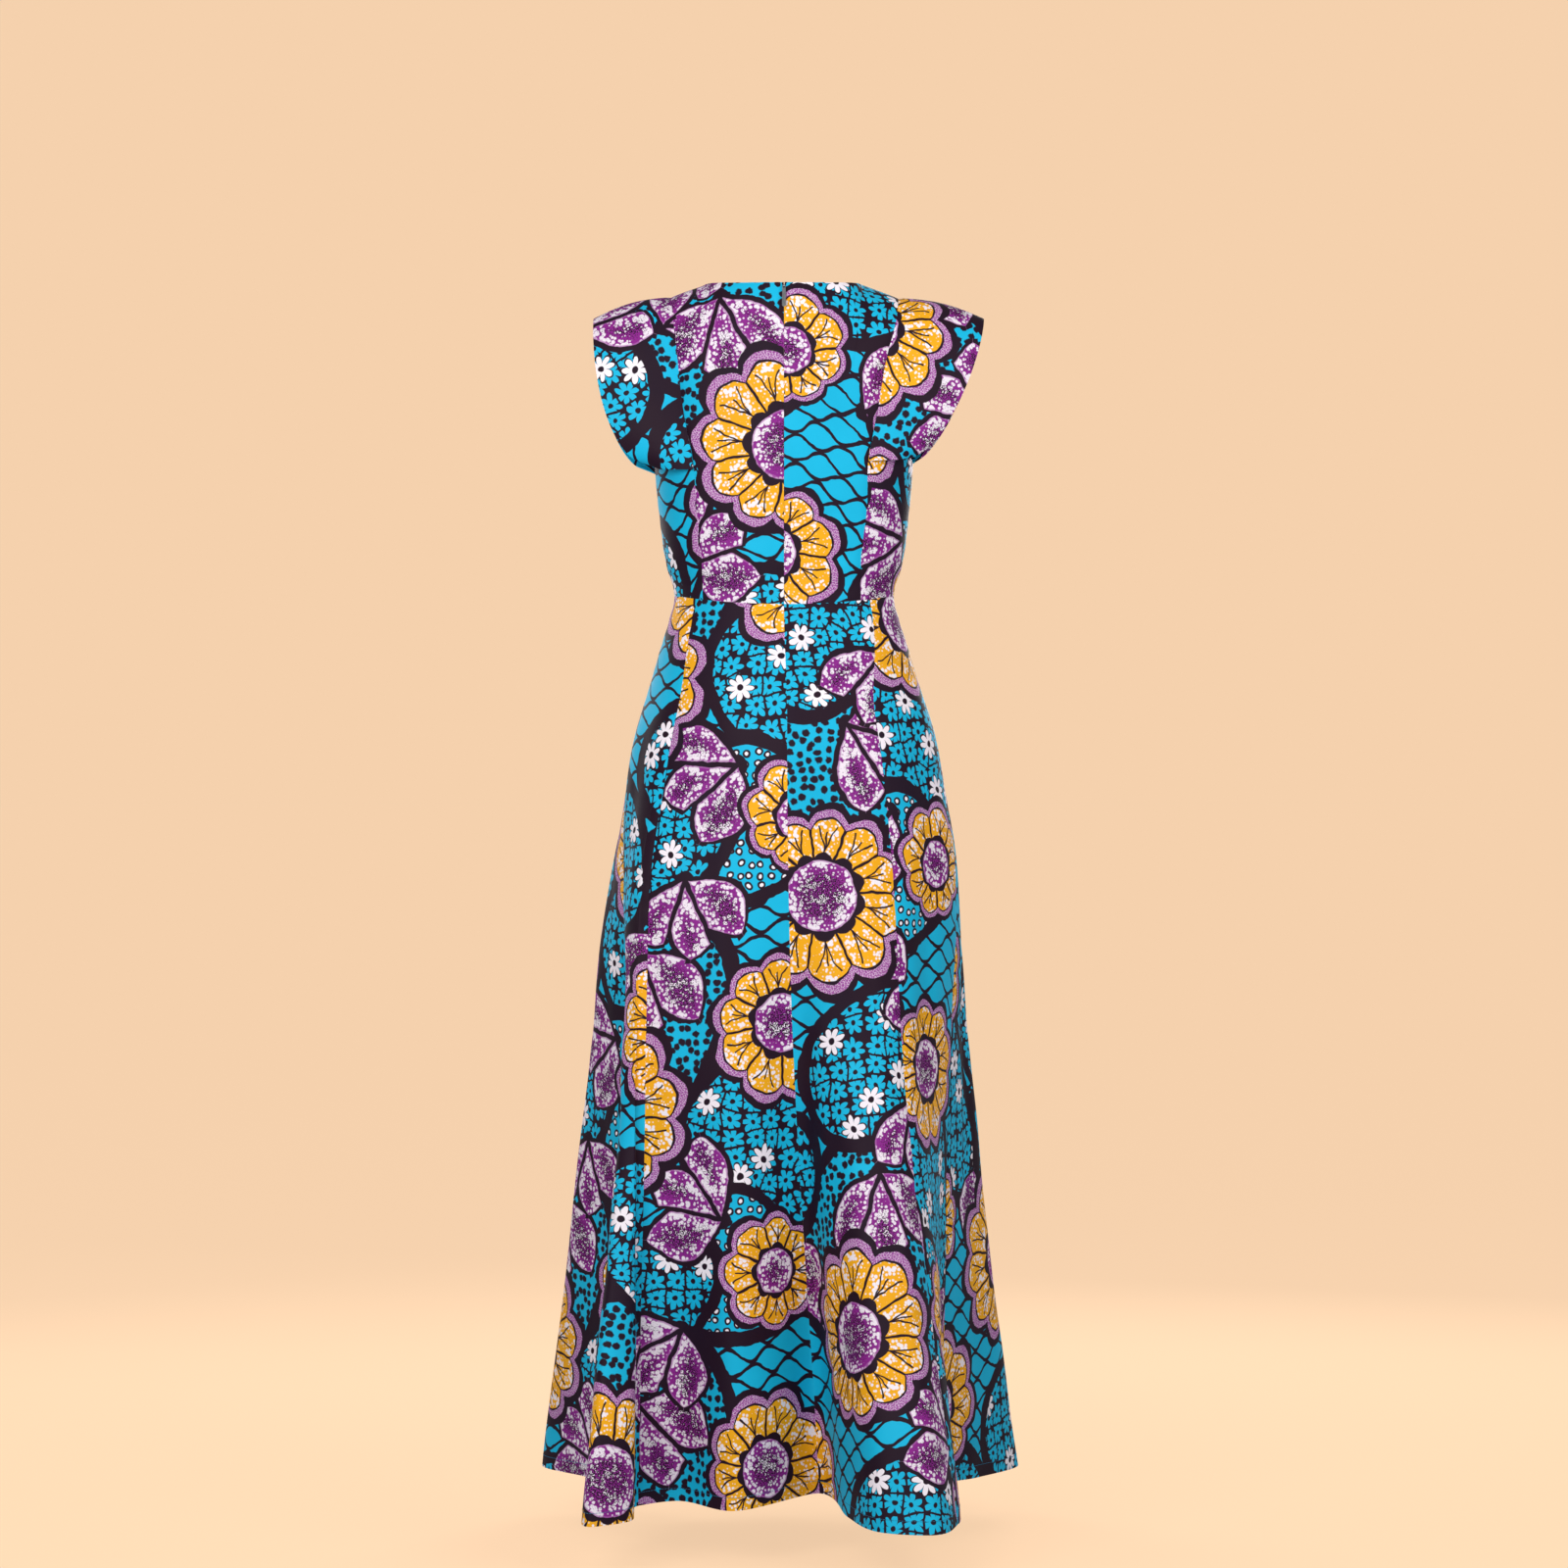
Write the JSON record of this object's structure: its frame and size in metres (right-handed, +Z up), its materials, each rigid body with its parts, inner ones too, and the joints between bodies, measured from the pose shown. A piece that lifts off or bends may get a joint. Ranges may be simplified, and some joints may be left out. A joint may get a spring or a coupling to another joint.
{
  "type": "ankara wax print dress",
  "caption": "Worn-form sleeveless maxi dress in wax print cotton: princess bodice, winged shoulder caps, gored flared skirt, centre-back zip with a swinging pull tab.",
  "frame": {"origin": "midway between the wearer's shoulders, under the neck opening, where the wearer carries the dress", "axes": "+Z up along the wearer's spine, +X towards the wearer's right, +Y the way the wearer faces, so the centre back with its zip lies on -Y"},
  "size_m": [0.5809, 0.6133, 1.4263],
  "materials": {
    "printed_cotton": "smooth, lightly glazed wax print cotton in bright blue with dark plum bands, lilac and amber flowers and small daisies",
    "zip_tape": "matt woven polyester tape",
    "zip_metal": "dull grey plated zinc, lightly rubbed at its edges"
  },
  "bodies": {
    "dress": {"bodice_back_left": "printed_cotton", "bodice_back_right": "printed_cotton", "bodice_front": "printed_cotton", "bodice_side_back_left": "printed_cotton", "bodice_side_back_right": "printed_cotton", "bodice_side_front_left": "printed_cotton", "bodice_side_front_right": "printed_cotton", "skirt_back_left": "printed_cotton", "skirt_back_right": "printed_cotton", "skirt_front": "printed_cotton", "skirt_side_back_left": "printed_cotton", "skirt_side_back_right": "printed_cotton", "skirt_side_front_left": "printed_cotton", "skirt_side_front_right": "printed_cotton", "sleeve_left": "printed_cotton", "sleeve_right": "printed_cotton", "zip_tape_left": "zip_tape", "zip_tape_right": "zip_tape", "zip_slider": "zip_metal"},
    "zip_pull": {"zip_pull": "zip_metal"}
  },
  "joints": [
    {"name": "zip_pull_swing", "type": "hinge", "parent": "dress", "child": "zip_pull", "pos_m": [0, -0.08277, -0.00276], "axis": [-1, 0, 0], "range_deg": [0, 165]}
  ]
}
